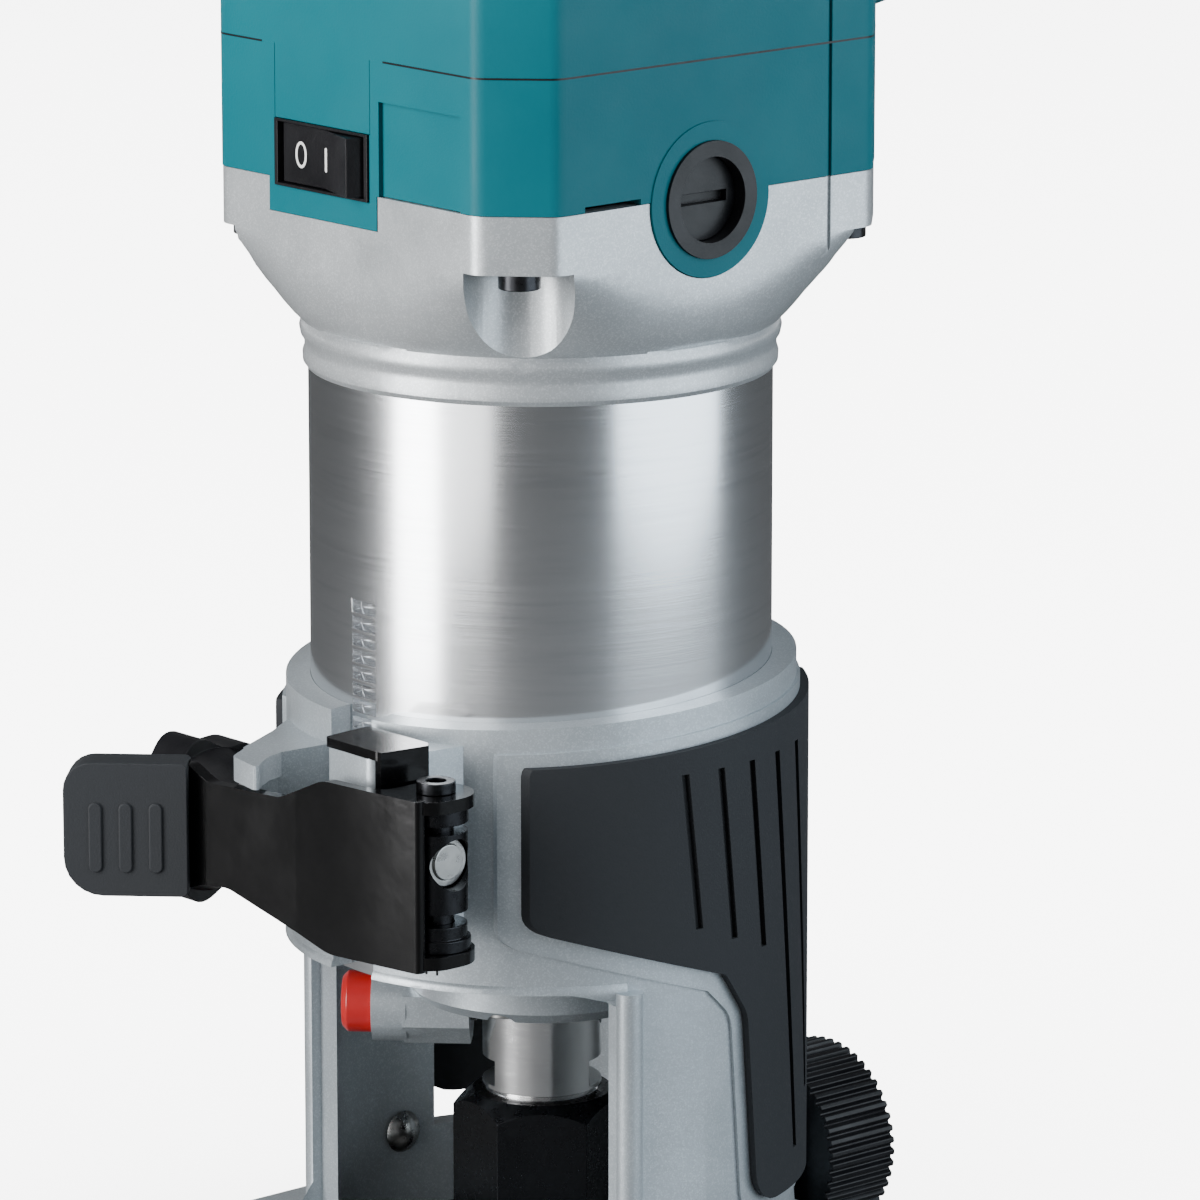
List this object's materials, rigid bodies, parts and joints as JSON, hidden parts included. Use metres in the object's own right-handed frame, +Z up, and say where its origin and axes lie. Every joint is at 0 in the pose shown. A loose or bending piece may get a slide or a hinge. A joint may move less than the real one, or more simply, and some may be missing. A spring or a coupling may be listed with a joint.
{
  "type": "trim router",
  "caption": "Compact trim router: barrel motor with square head, held in a quick-release clamp base with rack depth adjuster, collet and nut, spindle lock and grip pads.",
  "frame": {"origin": "spindle axis in the plane of the base's sole, the centre of the base plate's opening", "axes": "+Z up along the spindle; -X towards the clamp lever, window and switch; -Y towards the badge"},
  "size_m": [0.1233, 0.09, 0.234],
  "materials": {
    "base_paint": "satin silver-grey paint on cast aluminium",
    "flange_paint": "fine silver paint on cast metal",
    "barrel_aluminium": "turned and polished",
    "teal_plastic": "moulded, fine texture",
    "black_plastic": "moulded",
    "black_steel": "gloss black on pressed steel",
    "pad_rubber": "fine matt",
    "bright_steel": "turned",
    "black_oxide": "black oxide",
    "zinc": "bright zinc",
    "red_plastic": "moulded",
    "badge_white": "moulded",
    "copper": "enamelled wire",
    "lamination": "stacked sheet",
    "carbon": "pressed carbon",
    "natural_plastic": "moulded nylon",
    "circuit_green": "resist"
  },
  "bodies": {
    "base": {"base_casting": "base_paint", "base_plate": "black_plastic", "plate_screws": "zinc", "grip_pad_right": "pad_rubber", "grip_pad_left": "pad_rubber", "pad_rivets": "zinc", "clamp_saddle": "black_steel", "clamp_bolt": "zinc", "clamp_nut": "zinc", "trunnion": "black_oxide"},
    "lever": {"clamp_lever": "black_steel", "lever_grip": "pad_rubber", "lever_rivets": "black_oxide"},
    "pinion": {"pinion_shaft": "bright_steel", "depth_knob": "black_plastic"},
    "guide_clamp": {"guide_screw": "zinc", "guide_knob": "black_plastic"},
    "motor": {"motor_barrel": "barrel_aluminium", "motor_flange": "flange_paint", "lower_housing": "teal_plastic", "top_cover": "teal_plastic", "housing_screws": "black_oxide", "badge": "badge_white", "cord_gland": "pad_rubber", "switch_body": "black_plastic", "speed_controller": "circuit_green", "end_frame": "black_plastic", "brush_holders": "black_plastic", "brush_caps": "black_plastic", "carbon_brushes": "carbon", "brush_springs": "bright_steel", "stator_core": "lamination", "stator_windings": "copper", "fan_baffle": "black_plastic", "upper_bearing_outer": "bright_steel", "upper_bearing_balls": "zinc", "lower_bearing_outer": "bright_steel", "lower_bearing_balls": "zinc", "bearing_retainer": "base_paint", "retainer_screws": "zinc", "lock_spring": "bright_steel"},
    "rocker": {"switch_rocker": "black_plastic"},
    "dial": {"speed_dial": "black_plastic"},
    "lock": {"lock_pin": "bright_steel", "lock_button": "red_plastic"},
    "spindle": {"armature_shaft": "bright_steel", "armature_core": "lamination", "armature_windings": "copper", "commutator": "copper", "cooling_fan": "natural_plastic", "upper_bearing_inner": "bright_steel", "lower_bearing_inner": "bright_steel"},
    "collet": {"collet": "bright_steel"},
    "nut": {"collet_nut": "black_oxide"}
  },
  "joints": [
    {"name": "depth_slide", "type": "slide", "parent": "base", "child": "motor", "axis": [0, 0, 1], "range_m": [-0.032, 0.008]},
    {"name": "depth_knob_turn", "type": "hinge", "parent": "base", "child": "pinion", "pos_m": [-0.0355, 0, 0.074], "axis": [0, 1, 0], "range_deg": [-130, 500]},
    {"name": "clamp_lever_swing", "type": "hinge", "parent": "base", "child": "lever", "pos_m": [-0.0408, -0.0252, 0.078], "axis": [0, 0, 1], "range_deg": [0, 110]},
    {"name": "guide_screw_turn", "type": "hinge", "parent": "base", "child": "guide_clamp", "pos_m": [0.04, 0, 0.0166], "axis": [1, 0, 0], "range_deg": [-360, 360]},
    {"name": "power_switch", "type": "hinge", "parent": "motor", "child": "rocker", "pos_m": [-0.0325, 0.005, 0.1716], "axis": [0, 0, 1], "range_deg": [0, 18]},
    {"name": "speed_dial_turn", "type": "hinge", "parent": "motor", "child": "dial", "pos_m": [-0.014, 0.012, 0.232], "axis": [0, 0, 1], "range_deg": [-150, 150]},
    {"name": "spindle_lock", "type": "slide", "parent": "motor", "child": "lock", "axis": [0.7071, -0.7071, 0], "range_m": [0, 0.0034], "stiffness_N_per_m": 300, "springref_m": -0.004, "deforming": ["lock_spring"]},
    {"name": "spindle_spin", "type": "hinge", "parent": "motor", "child": "spindle", "pos_m": [0, 0, 0.1], "axis": [0, 0, 1], "continuous": true},
    {"name": "collet_travel", "type": "slide", "parent": "spindle", "child": "collet", "axis": [0, 0, -1], "range_m": [0, 0.00314]},
    {"name": "collet_nut_turn", "type": "hinge", "parent": "collet", "child": "nut", "pos_m": [0, 0, 0.02], "axis": [0, 0, 1], "range_deg": [0, 720]}
  ],
  "couplings": [
    {"joint": "depth_knob_turn", "follows": "depth_slide", "rad_per_m": -266.67},
    {"joint": "collet_nut_turn", "follows": "collet_travel", "rad_per_m": 4000}
  ]
}
